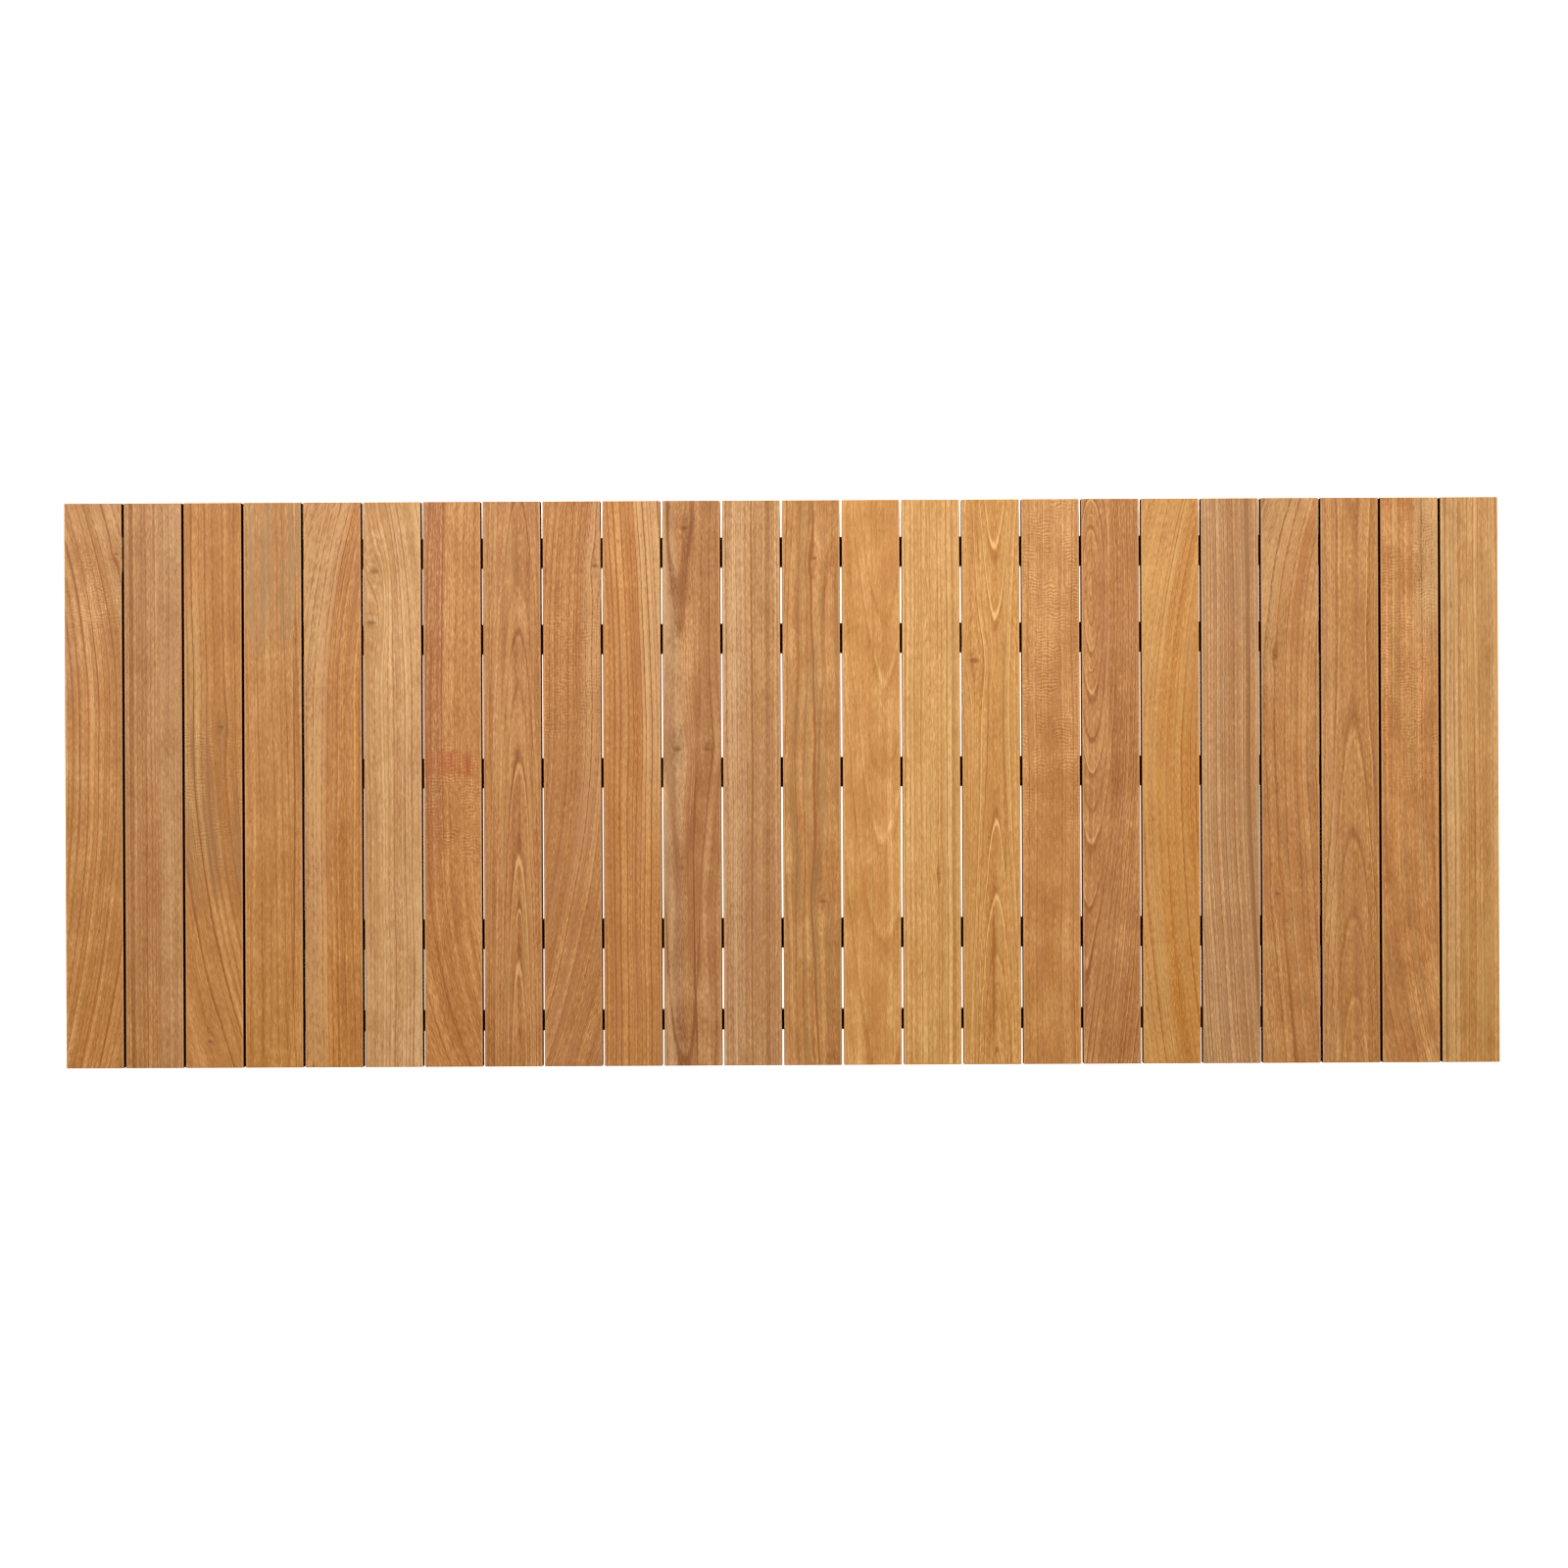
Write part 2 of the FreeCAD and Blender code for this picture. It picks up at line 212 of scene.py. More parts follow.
# %% A knot's inputs and outputs
knot = bpy.data.node_groups.new("knot", "ShaderNodeTree")
knot.interface.new_socket("Place", in_out="INPUT", socket_type="NodeSocketVector")
for name in ("Across", "Along", "Radius"):
    knot.interface.new_socket(name, in_out="INPUT", socket_type="NodeSocketFloat")
knot.interface.new_socket("Place", in_out="OUTPUT", socket_type="NodeSocketVector")
knot.interface.new_socket("Shade", in_out="OUTPUT", socket_type="NodeSocketFloat")
branch = knot.nodes.new("NodeGroupInput").outputs
knot_ends = knot.nodes.new("NodeGroupOutput").inputs

centre = add(knot, "CombineXYZ", {"X": branch["Across"], "Y": branch["Along"]})
away = add(knot, "VectorMath", {0: branch["Place"], 1: centre}, operation="SUBTRACT")
away_flat = add(knot, "VectorMath", {0: away, 1: (1, 1, 0)}, operation="MULTIPLY")
inverse = add(knot, "Math", {0: 1.0, 1: branch["Radius"]}, operation="DIVIDE")
in_radii = add(knot, "VectorMath", {0: away_flat, "Scale": inverse}, operation="SCALE")

# %% The parting of the fibres
parting_across = 4  # how far it reaches, in knot radii
parting_along = 12
parting_share = 0.85  # how much of their way to the centre line the fibres are drawn

reach = add(knot, "VectorMath", {0: in_radii, 1: (1 / parting_across, 1 / parting_along, 0)},
            operation="MULTIPLY")
reach_square = add(knot, "VectorMath", {0: reach, 1: reach}, output="Value",
                   operation="DOT_PRODUCT")
pull = add(knot, "Math", {0: math.exp(-1), 1: reach_square}, operation="POWER")
drawn = add(knot, "VectorMath", {0: away_flat, 1: (parting_share, 0, 0)}, operation="MULTIPLY")
shift = add(knot, "VectorMath", {0: drawn, "Scale": pull}, operation="SCALE")
parted = add(knot, "VectorMath", {0: branch["Place"], 1: shift}, operation="SUBTRACT")
knot.links.new(parted, knot_ends["Place"])
print("fibres part over", parting_across, "by", parting_along, "knot radii")

# %% The knot's eye and halo
# The eye is darkest in the first fifth of a radius and gone at one and a half.
eye = add(knot, "VectorMath", {0: in_radii, 1: (0.6, 1.0, 0)}, operation="MULTIPLY")
eye_far = add(knot, "VectorMath", {0: eye}, output="Value", operation="LENGTH")
heart = add(knot, "MapRange", {"Value": eye_far, "From Min": 0.2, "From Max": 1.5,
                               "To Min": 0.75, "To Max": 0.0}, interpolation_type="SMOOTHSTEP")
halo = add(knot, "Math", {0: pull, 1: 5.0}, operation="POWER")
halo_soft = add(knot, "Math", {0: halo, 1: 0.28}, operation="MULTIPLY")
knot_shade = add(knot, "Math", {0: heart, 1: halo_soft}, operation="MAXIMUM")
knot.links.new(knot_shade, knot_ends["Shade"])
print("knot group:", len(knot.nodes), "nodes")

# %% [markdown]
# ## The teak group and a board's facts
#
# The second group is the wood itself. It takes a place in millimetres and the facts of one board,
# whose lengths are in millimetres too:
# - Pith across, Pith depth: how far the log's centre line lies to the right and below the face.
# - Tilt, Crook: how much deeper it gets for each millimetre along the board, and by its bend
#   100 mm from the middle.
# - Ring: how far the rings are apart.
# - Bend at, Bend above, Bend below: where the grain starts to bend, and how far to the right it
#   has gone 100 mm to the rear and 100 mm to the front of that.
# - Sweep, Waver: about twice as far as the grain swings in a slow sweep and in small waves.
# - Lines, Outline, Fibres, Mottle: how strongly the rings' dark lines, their pale outlines, the
#   streaks and the cloudy patches show, with about 1 for usual teak.
# - Rear sheen: how much the colour greys towards the rear, in percent of its saturation for each
#   100 mm; a painted sheen from the lamp behind, over the wood's own fading.
# - Sap: a side of the board in another colour. Its share is how strong it is, its edge is the
#   place across where it starts, and its side is 1 for the right and -1 for the left.
# - Flush, Ripple, Vein: a stain, a curl of the fibres and a dark line. These and the sap each
#   have the place along the board where they lie, and how far they reach from there.
#
# One group with many facts is used, not one material for each board, because a change to the
# wood then reaches every board at once.

# %% The group's inputs and outputs
teak = bpy.data.node_groups.new("teak", "ShaderNodeTree")
SHADES = ["Dark", "Ground", "Pale", "Flush", "Sap"]
FACTS = [
    "Seed", "Knot", "Half width", "Half length", "Left gap shade", "Right gap shade",
    "Pith across", "Pith depth", "Tilt", "Crook", "Ring",
    "Bend at", "Bend above", "Bend below", "Sweep", "Waver",
    "Lines", "Outline", "Fibres", "Mottle", "Drift",
    "Sap share", "Sap edge", "Sap side", "Sap at", "Sap reach",
    "Flush share", "Flush at", "Flush reach",
    "Ripple", "Ripple at", "Ripple reach",
    "Vein", "Vein across", "Vein at", "Vein reach",
]
teak.interface.new_socket("Place", in_out="INPUT", socket_type="NodeSocketVector")
for name in SHADES:
    teak.interface.new_socket(name, in_out="INPUT", socket_type="NodeSocketColor")
for name in FACTS:
    teak.interface.new_socket(name, in_out="INPUT", socket_type="NodeSocketFloat")
teak.interface.new_socket("Color", in_out="OUTPUT", socket_type="NodeSocketColor")
for name in ("Roughness", "Height", "Gloss"):
    teak.interface.new_socket(name, in_out="OUTPUT", socket_type="NodeSocketFloat")

board = teak.nodes.new("NodeGroupInput").outputs
teak_ends = teak.nodes.new("NodeGroupOutput").inputs
place = teak.nodes.new("ShaderNodeSeparateXYZ")
teak.links.new(board["Place"], place.inputs["Vector"])
across, along, up = place.outputs
along_100 = add(teak, "Math", {0: along, 1: 0.01}, operation="MULTIPLY")
print("facts of a board:", len(FACTS), "numbers and", len(SHADES), "colours")

# %% Noise in the wood, and zones along a board
# A board's seed moves its patterns this far through the noise.
seed_step = add(teak, "VectorMath", {0: (13.7, 151.3, 7.1), "Scale": board["Seed"]},
                operation="SCALE")


def stretched(width, length, depth=None, detail=1.0, source=board["Place"]):
    """A pattern about zero in the wood, whose patches have this width and length in mm."""
    sized = add(teak, "VectorMath", {0: source, 1: (1 / width, 1 / length, 1 / (depth or width))},
                operation="MULTIPLY")
    moved = add(teak, "VectorMath", {0: sized, 1: seed_step}, operation="ADD")
    noise = add(teak, "TexNoise", {"Vector": moved, "Scale": 1.0, "Detail": detail,
                                   "Roughness": 0.5})
    return add(teak, "Math", {0: noise, 1: 0.5}, operation="SUBTRACT")


def zone(fact, full, gone, fade="SMOOTHSTEP"):
    """One where a fact of the board holds, fading between two shares of its reach to zero."""
    away = add(teak, "Math", {0: along, 1: board[fact + " at"]}, operation="SUBTRACT")
    away = add(teak, "Math", {0: away}, operation="ABSOLUTE")
    share = add(teak, "Math", {0: away, 1: board[fact + " reach"]}, operation="DIVIDE")
    return add(teak, "MapRange", {"Value": share, "From Min": full, "From Max": gone,
                                  "To Min": 1.0, "To Max": 0.0}, interpolation_type=fade)


# %% [markdown]
# ## Bend the grain
#
# No tree grows straight, so the place is bent before any ring is drawn. A bend starts at some
# point along the board and grows with the square of the distance, to the rear and to the front of
# it, as a beam bends. Two noise patterns, stretched along the grain, add a slow sweep and a small
# waver. Only the distance across is changed. That is enough for boards whose grain runs within a
# few degrees of their length, and it is far cheaper than bending the whole space.

# %% Bends, sweep and waver
past_bend = add(teak, "Math", {0: along, 1: board["Bend at"]}, operation="SUBTRACT")
past_100 = add(teak, "Math", {0: past_bend, 1: 0.01}, operation="MULTIPLY")
lean = across
for fact, keep_side in (("Bend above", "MAXIMUM"), ("Bend below", "MINIMUM")):
    one_side = add(teak, "Math", {0: past_100, 1: 0.0}, operation=keep_side)
    square = add(teak, "Math", {0: one_side, 1: one_side}, operation="MULTIPLY")
    bend = add(teak, "Math", {0: square, 1: board[fact]}, operation="MULTIPLY")
    lean = add(teak, "Math", {0: lean, 1: bend}, operation="SUBTRACT")
for pattern, fact in ((stretched(75, 260), "Sweep"), (stretched(14, 130, detail=2), "Waver")):
    lean = add(teak, "Math", {0: pattern, 1: board[fact], 2: lean}, operation="MULTIPLY_ADD")
bent = add(teak, "CombineXYZ", {"X": lean, "Y": along, "Z": up})
print("nodes after the bends:", len(teak.nodes))

# %% [markdown]
# ## Growth rings
#
# The pith's depth below the face changes along the board by its tilt, and by a crook where the
# tree was bent. The ring number is the distance to the pith over the width of a ring. Teak is
# ring-porous: each spring it makes one row of large pores, a thin dark line, beside a thin pale
# line of soft tissue, and then it slowly darkens until the next. A colour ramp draws that
# profile over one ring, because a ramp can be read and changed at a glance. Good and bad years
# make some rings wider than others, and each ring's line has a strength of its own.

# %% Which ring a point lies in
depth_wave = 2.4  # mm by which the rings' depth wanders
wander = 2.2  # rings by which a run of good or bad years moves them

tilted = add(teak, "Math", {0: along, 1: board["Tilt"]}, operation="MULTIPLY")
along_square = add(teak, "Math", {0: along_100, 1: along_100}, operation="MULTIPLY")
crook = add(teak, "Math", {0: along_square, 1: board["Crook"]}, operation="MULTIPLY")
wave = add(teak, "Math", {0: stretched(30, 150, detail=2, depth=60), 1: depth_wave},
           operation="MULTIPLY")
depth = add(teak, "Math", {0: up, 1: board["Pith depth"]}, operation="ADD")
for part in (tilted, crook, wave):
    depth = add(teak, "Math", {0: depth, 1: part}, operation="ADD")
side = add(teak, "Math", {0: lean, 1: board["Pith across"]}, operation="SUBTRACT")
radius = add(teak, "VectorMath", {0: add(teak, "CombineXYZ", {"X": side, "Y": depth})},
             output="Value", operation="LENGTH")
ring = add(teak, "Math", {0: radius, 1: board["Ring"]}, operation="DIVIDE")
good_years = add(teak, "TexNoise", {"W": ring, "Scale": 0.35, "Detail": 1.0},
                 noise_dimensions="1D")
ring = add(teak, "Math", {0: good_years, 1: wander, 2: ring}, operation="MULTIPLY_ADD")
ring = add(teak, "Math", {0: ring, 1: board["Seed"]}, operation="ADD")
year = add(teak, "Math", {0: ring}, operation="FLOOR")
season = add(teak, "Math", {0: ring}, operation="FRACT")
chance = add(teak, "TexWhiteNoise", {"W": year}, noise_dimensions="1D")
print("nodes that find the ring:", len(teak.nodes))

# %% The tone over one ring
# Each stop: how far through the year, and how pale. The dark pore line comes first.
RING_PROFILE = [
    (0.0, 0.30), (0.05, 0.0), (0.12, 0.02), (0.22, 0.47), (0.50, 0.56), (0.80, 0.52), (1.0, 0.45),
]
profile = add(teak, "ValToRGB", {"Fac": season})
ramp = profile.node.color_ramp
ramp.interpolation = "EASE"
for position, pale in RING_PROFILE[1:-1]:
    ramp.elements.new(position)
for stop, (position, pale) in zip(ramp.elements, RING_PROFILE):
    stop.position = position
    stop.color = (pale, pale, pale, 1)
print("stops in one ring:", len(ramp.elements))

# %% Every year's own force and tone
line = add(teak, "Math", {0: profile, 1: 0.5}, operation="SUBTRACT")
year_force = add(teak, "MapRange", {"Value": chance, "To Min": 0.4, "To Max": 2.2})
line = add(teak, "Math", {0: line, 1: year_force}, operation="MULTIPLY")
year_tone = add(teak, "Math", {0: chance, 1: 0.5}, operation="SUBTRACT")
line = add(teak, "Math", {0: year_tone, 1: 0.25, 2: line}, operation="MULTIPLY_ADD")
line = add(teak, "Math", {0: line, 1: board["Lines"]}, operation="MULTIPLY")

# %% The pale outline at the end of a ring
rim_in = add(teak, "MapRange", {"Value": season, "From Min": 0.84, "From Max": 0.93},
             interpolation_type="SMOOTHSTEP")
rim_out = add(teak, "MapRange", {"Value": season, "From Min": 0.95, "From Max": 1.0,
                                 "To Min": 1.0, "To Max": 0.0})
rim = add(teak, "Math", {0: rim_in, 1: rim_out}, operation="MULTIPLY")
second_chance = add(teak, "Math", {0: chance, 1: 7.3}, operation="MULTIPLY")
second_chance = add(teak, "Math", {0: second_chance}, operation="FRACT")
rim_force = add(teak, "Math", {0: second_chance, 1: board["Outline"]}, operation="MULTIPLY")
line = add(teak, "Math", {0: rim, 1: rim_force, 2: line}, operation="MULTIPLY_ADD")
print("nodes after the rings:", len(teak.nodes))

# %% [markdown]
# ## Fibres, pores and figure
#
# Between the rings run the fibres. They follow the same bends, so their noise reads the bent
# place, not the straight one. Three widths of streak make the face: hair-fine ones that only a
# close look shows, streaks a pencil line wide, and broad bands. Real fibres are finer than the
# finest of these, which is drawn as coarse as it needs to be to show. Pores are short dark dashes,
# darkest in the spring wood. They are about a quarter of a millimetre wide, and are drawn nearly
# twice as wide, for the same reason. Mottle is cloudy patches with no direction.

# %% Streaks
# Each kind: its width and length in mm, the detail of its noise, and how strongly it shows.
STREAKS = {
    "hair": (0.9, 6.5, 1.0, 2.2),
    "pencil": (1.3, 300, 2.0, 1.6),
    "band": (8.0, 520, 1.0, 1.1),
}
streaks = 0.0
for width, length, detail, force in STREAKS.values():
    streak = stretched(width, length, detail=detail, source=bent)
    streaks = add(teak, "Math", {0: streak, 1: force, 2: streaks}, operation="MULTIPLY_ADD")
streaks = add(teak, "Math", {0: streaks, 1: board["Fibres"]}, operation="MULTIPLY")
print("streak widths in mm:", [kind[0] for kind in STREAKS.values()])

# %% Pores and mottle
dashes = stretched(0.45, 5.0, detail=0.0, source=bent)
spring = add(teak, "MapRange", {"Value": season, "From Min": 0.0, "From Max": 0.35,
                                "To Min": 1.0, "To Max": 0.35})
pores = add(teak, "MapRange", {"Value": dashes, "From Min": 0.10, "From Max": 0.2})
pores = add(teak, "Math", {0: pores, 1: spring}, operation="MULTIPLY")
mottle = add(teak, "Math", {0: stretched(26, 46, detail=2), 1: board["Mottle"]},
             operation="MULTIPLY")
print("nodes after the pores:", len(teak.nodes))

# %% [markdown]
# ## Ripple and vein
#
# Two figures that only some boards have. A ripple is a curl of the fibres that catches the light
# in short bars across the grain. It is a sine wave along the board, which a noise pattern staggers
# so that the bars break up. A vein is a dark line, where resin or mineral has settled. It
# follows the bent grain and wanders a little.

# %% Ripple
bar_spacing = 3.5  # mm
bar_stagger = 16.0  # radians

bars = add(teak, "Math", {0: along, 1: 2 * math.pi / bar_spacing}, operation="MULTIPLY")
bars = add(teak, "Math", {0: stretched(9, 14, source=bent), 1: bar_stagger, 2: bars},
           operation="MULTIPLY_ADD")
bars = add(teak, "Math", {0: bars}, operation="SINE")
ripple_patch = add(teak, "MapRange", {"Value": stretched(15, 30), "From Min": -0.1,
                                      "From Max": 0.14})
ripple = bars
for part in (zone("Ripple", 0.6, 1.1), ripple_patch, board["Ripple"]):
    ripple = add(teak, "Math", {0: ripple, 1: part}, operation="MULTIPLY")
print("ripple bars in 100 mm:", round(100 / bar_spacing))

# %% Vein
vein_side = add(teak, "Math", {0: lean, 1: board["Vein across"]}, operation="SUBTRACT")
vein_side = add(teak, "Math", {0: vein_side, 1: stretched(40, 45, detail=2)}, operation="ADD")
vein_far = add(teak, "Math", {0: vein_side}, operation="ABSOLUTE")
vein = add(teak, "MapRange", {"Value": vein_far, "From Min": 0.3, "From Max": 1.6,
                              "To Min": 1.0, "To Max": 0.0})
for part in (zone("Vein", 0.7, 1.1, fade="LINEAR"), board["Vein"]):
    vein = add(teak, "Math", {0: vein, 1: part}, operation="MULTIPLY")
print("nodes after the vein:", len(teak.nodes))

# %% [markdown]
# ## From tone to colour
#
# All of it adds up to one tone, from dark through the board's ground colour to pale. Dark teak
# is redder and pale teak yellower, so the three are separate colours.
#
# Over that lie three slow changes. Sap is a paler or darker side of the board with a soft edge
# that runs with the grain, where the saw cut through the border of the heartwood. A flush is
# streaky, and is either a shift towards another hue or a stain at one place. And the colour is
# painted greyer towards the board's rear: a painted sheen from the lamp behind, over the wood's
# own fading.

# %% Tone
pore_tone = -0.55

tone = line
for part in (streaks, mottle, ripple):
    tone = add(teak, "Math", {0: tone, 1: part}, operation="ADD")
tone = add(teak, "Math", {0: tone, 1: vein}, operation="SUBTRACT")
tone = add(teak, "Math", {0: pores, 1: pore_tone, 2: tone}, operation="MULTIPLY_ADD")
darken = add(teak, "MapRange", {"Value": tone, "From Min": -1.0, "From Max": 0.0,
                                "To Min": 1.0, "To Max": 0.0})
lighten = add(teak, "MapRange", {"Value": tone, "From Min": 0.0, "From Max": 1.0})

# %% Sap, and the tone's colour
# The border of the heartwood is soft over about 9 mm.
sap = add(teak, "Math", {0: lean, 1: board["Sap edge"]}, operation="SUBTRACT")
sap = add(teak, "Math", {0: sap, 1: board["Sap side"]}, operation="MULTIPLY")
sap = add(teak, "MapRange", {"Value": sap, "From Min": -4.0, "From Max": 5.0},
          interpolation_type="SMOOTHSTEP")
for part in (zone("Sap", 0.5, 1.2), board["Sap share"]):
    sap = add(teak, "Math", {0: sap, 1: part}, operation="MULTIPLY")
wood = board["Ground"]
for share, towards in ((sap, "Sap"), (darken, "Dark"), (lighten, "Pale")):
    wood = add(teak, "Mix", {0: share, 6: wood, 7: board[towards]}, output=2, data_type="RGBA")

# %% Flush, and the painted sheen towards the rear
flush = add(teak, "MapRange", {"Value": stretched(6, 170, detail=3, source=bent),
                               "From Min": -0.1, "From Max": 0.16})
for part in (zone("Flush", 0.5, 1.2), board["Flush share"]):
    flush = add(teak, "Math", {0: flush, 1: part}, operation="MULTIPLY")
wood = add(teak, "Mix", {0: flush, 6: wood, 7: board["Flush"]}, output=2, data_type="RGBA")
# Painted sheen: the colour greys towards the rear, as it does under the lamp's veil.
drift = add(teak, "Math", {0: along_100, 1: board["Drift"]}, operation="MULTIPLY")
saturation = add(teak, "Math", {0: drift, 1: -0.01, 2: 1.0}, operation="MULTIPLY_ADD")
wood = add(teak, "HueSaturation", {"Saturation": saturation, "Color": wood})

# %% [markdown]
# ## Knots, edges and painted shade
#
# Knots are darkest, and stay as dark where the painted sheen greys the board. The long arrises are
# painted paler: partly sanding wear, partly a painted highlight on their rounded edge. The last
# millimetre and a half of each end is darker. The faces inside the gaps get painted shade, a
# nearly black red-brown that stands in for the deep shadow there, with no shine. The last three
# depend only on how far a point is from the board's own edges, so no mask image has to be made.

# %% Knots
knot_dark = add(teak, "Mix", {0: 0.45, 6: board["Dark"], 7: linear("4a2510")}, output=2,
                data_type="RGBA")
wood = add(teak, "Mix", {0: board["Knot"], 6: wood, 7: knot_dark}, output=2, data_type="RGBA")

# %% Arrises and end grain
# Each edge: the direction, the board's half size in it, where the change starts and where it is
# whole in mm beyond the edge, so below zero on the board, how strong it is, and the colour.
EDGES = [
    # The long arrises: paler, partly sanding wear and partly a painted highlight on the rounded
    # edge.
    (across, "Half width", -2.2, -0.9, 0.5, "Pale"),
    # The ends: darker over their last millimetre and a half.
    (along, "Half length", -1.4, -0.4, 0.45, "Dark"),
]
for direction, half, starts, whole, force, towards in EDGES:
    beyond = add(teak, "Math", {0: direction}, operation="ABSOLUTE")
    beyond = add(teak, "Math", {0: beyond, 1: board[half]}, operation="SUBTRACT")
    edge = add(teak, "MapRange", {"Value": beyond, "From Min": starts, "From Max": whole,
                                  "To Min": 0.0, "To Max": force})
    wood = add(teak, "Mix", {0: edge, 6: wood, 7: board[towards]}, output=2, data_type="RGBA")

# %% Painted shade on the faces inside the gaps
# Painted shade: this colour stands in for the deep shadow on the faces inside the gaps and on the
# rounded arris beside them.
GAP_SHADE_COLOR = linear("36120a")  # a nearly black red-brown
side_shade_starts = -1.2  # mm beyond the side face, so on the rounded arris
side_shade_whole = -0.65

gap_shade = 0.0
for fact, outwards in (("Right gap shade", 1.0), ("Left gap shade", -1.0)):
    beyond = add(teak, "Math", {0: across, 1: outwards}, operation="MULTIPLY")
    beyond = add(teak, "Math", {0: beyond, 1: board["Half width"]}, operation="SUBTRACT")
    face = add(teak, "MapRange", {"Value": beyond, "From Min": side_shade_starts,
                                  "From Max": side_shade_whole})
    face = add(teak, "Math", {0: face, 1: board[fact]}, operation="MULTIPLY")
    gap_shade = add(teak, "Math", {0: face, 1: gap_shade}, operation="MAXIMUM")
below_face = add(teak, "MapRange", {"Value": up, "From Min": -0.03, "From Max": -0.25})
gap_shade = add(teak, "Math", {0: gap_shade, 1: below_face}, operation="MULTIPLY")
wood = add(teak, "Mix", {0: gap_shade, 6: wood, 7: GAP_SHADE_COLOR}, output=2, data_type="RGBA")
print("soil in linear light:", [round(part, 3) for part in GAP_SHADE_COLOR[:3]])

# %% Roughness, relief and gloss
# Dark, open wood scatters more light than pale, dense wood.
SATIN = 0.4  # the specular level of oiled wood, a little under a varnish's
# The painted shade in the gaps takes away the shine as well.
gloss = add(teak, "MapRange", {"Value": gap_shade, "To Min": SATIN, "To Max": 0.0})
rough = add(teak, "MapRange", {"Value": tone, "From Min": -1.0, "From Max": 1.0,
                               "To Min": 0.62, "To Max": 0.48})
relief = add(teak, "Math", {0: tone, 1: 0.25}, operation="MULTIPLY")
relief = add(teak, "Math", {0: pores, 1: -1.0, 2: relief}, operation="MULTIPLY_ADD")
for made, end in ((wood, "Color"), (rough, "Roughness"), (relief, "Height"), (gloss, "Gloss")):
    teak.links.new(made, teak_ends[end])
print("teak group:", len(teak.nodes), "nodes")

# %% [markdown]
# ## The boards
#
# Each board is a short list of facts, in millimetres. Everything that a board doesn't say comes
# from the plain one. Its dark and pale colours are worked out from its ground colour, so one
# colour says most of what a board looks like.

# %% A plain board
WHOLE_LENGTH = 400  # a reach that takes in the whole board
PLAIN = {
    "Pith across": -120, "Pith depth": 30, "Tilt": 0.0, "Crook": 0.0, "Ring": 4.0,
    "Bend at": 0, "Bend above": 0.0, "Bend below": 0.0, "Sweep": 8, "Waver": 2.0,
    "Lines": 1.0, "Outline": 0.4, "Fibres": 1.0, "Mottle": 0.8, "Drift": 0.3,
    "Sap share": 0.0, "Sap edge": 0, "Sap side": 1, "Sap at": 0, "Sap reach": WHOLE_LENGTH,
    "Flush share": 0.35, "Flush at": 0, "Flush reach": WHOLE_LENGTH,
    "Ripple": 0.0, "Ripple at": 0, "Ripple reach": WHOLE_LENGTH,
    "Vein": 0.0, "Vein across": 0, "Vein at": 0, "Vein reach": WHOLE_LENGTH,
}

print("a board's own facts, at most:", len(PLAIN))

# %% Wood colours
# The hues that most flushes and pale sides take.
PINK = "b47b52"
OLIVE = "9f7c49"
STRAW = "d3a868"
AMBER = "c67f3c"
STEPS = 2.1  # how many steps the dark and the pale colour lie from the ground colour


def shade(code, steps):
    """A wood colour some steps paler and yellower, or darker and redder below zero."""
    yellower = 1 - 0.15 * steps
    paler = math.exp(0.13 * steps)
    return [c ** yellower * paler for c in linear(code)[:3]] + [1.0]


for title, steps in (("dark", -STEPS), ("ground", 0), ("pale", STEPS)):
    print(title, "straw in linear light:", [round(c, 2) for c in shade(STRAW, steps)[:3]])

# %% Knots in a material
def with_knots(tree, place, knots):
    """The place with the fibres parted round each knot (across, along, radius), and the shade."""
    darkest = 0.0
    for knot_across, knot_along, knot_radius in knots:
        made = tree.nodes.new("ShaderNodeGroup")
        made.node_tree = knot
        tree.links.new(place, made.inputs["Place"])
        made.inputs["Across"].default_value = knot_across
        made.inputs["Along"].default_value = knot_along
        made.inputs["Radius"].default_value = knot_radius
        place = made.outputs["Place"]
        darkest = add(tree, "Math", {0: made.outputs["Shade"], 1: darkest}, operation="MAXIMUM")
    return place, darkest


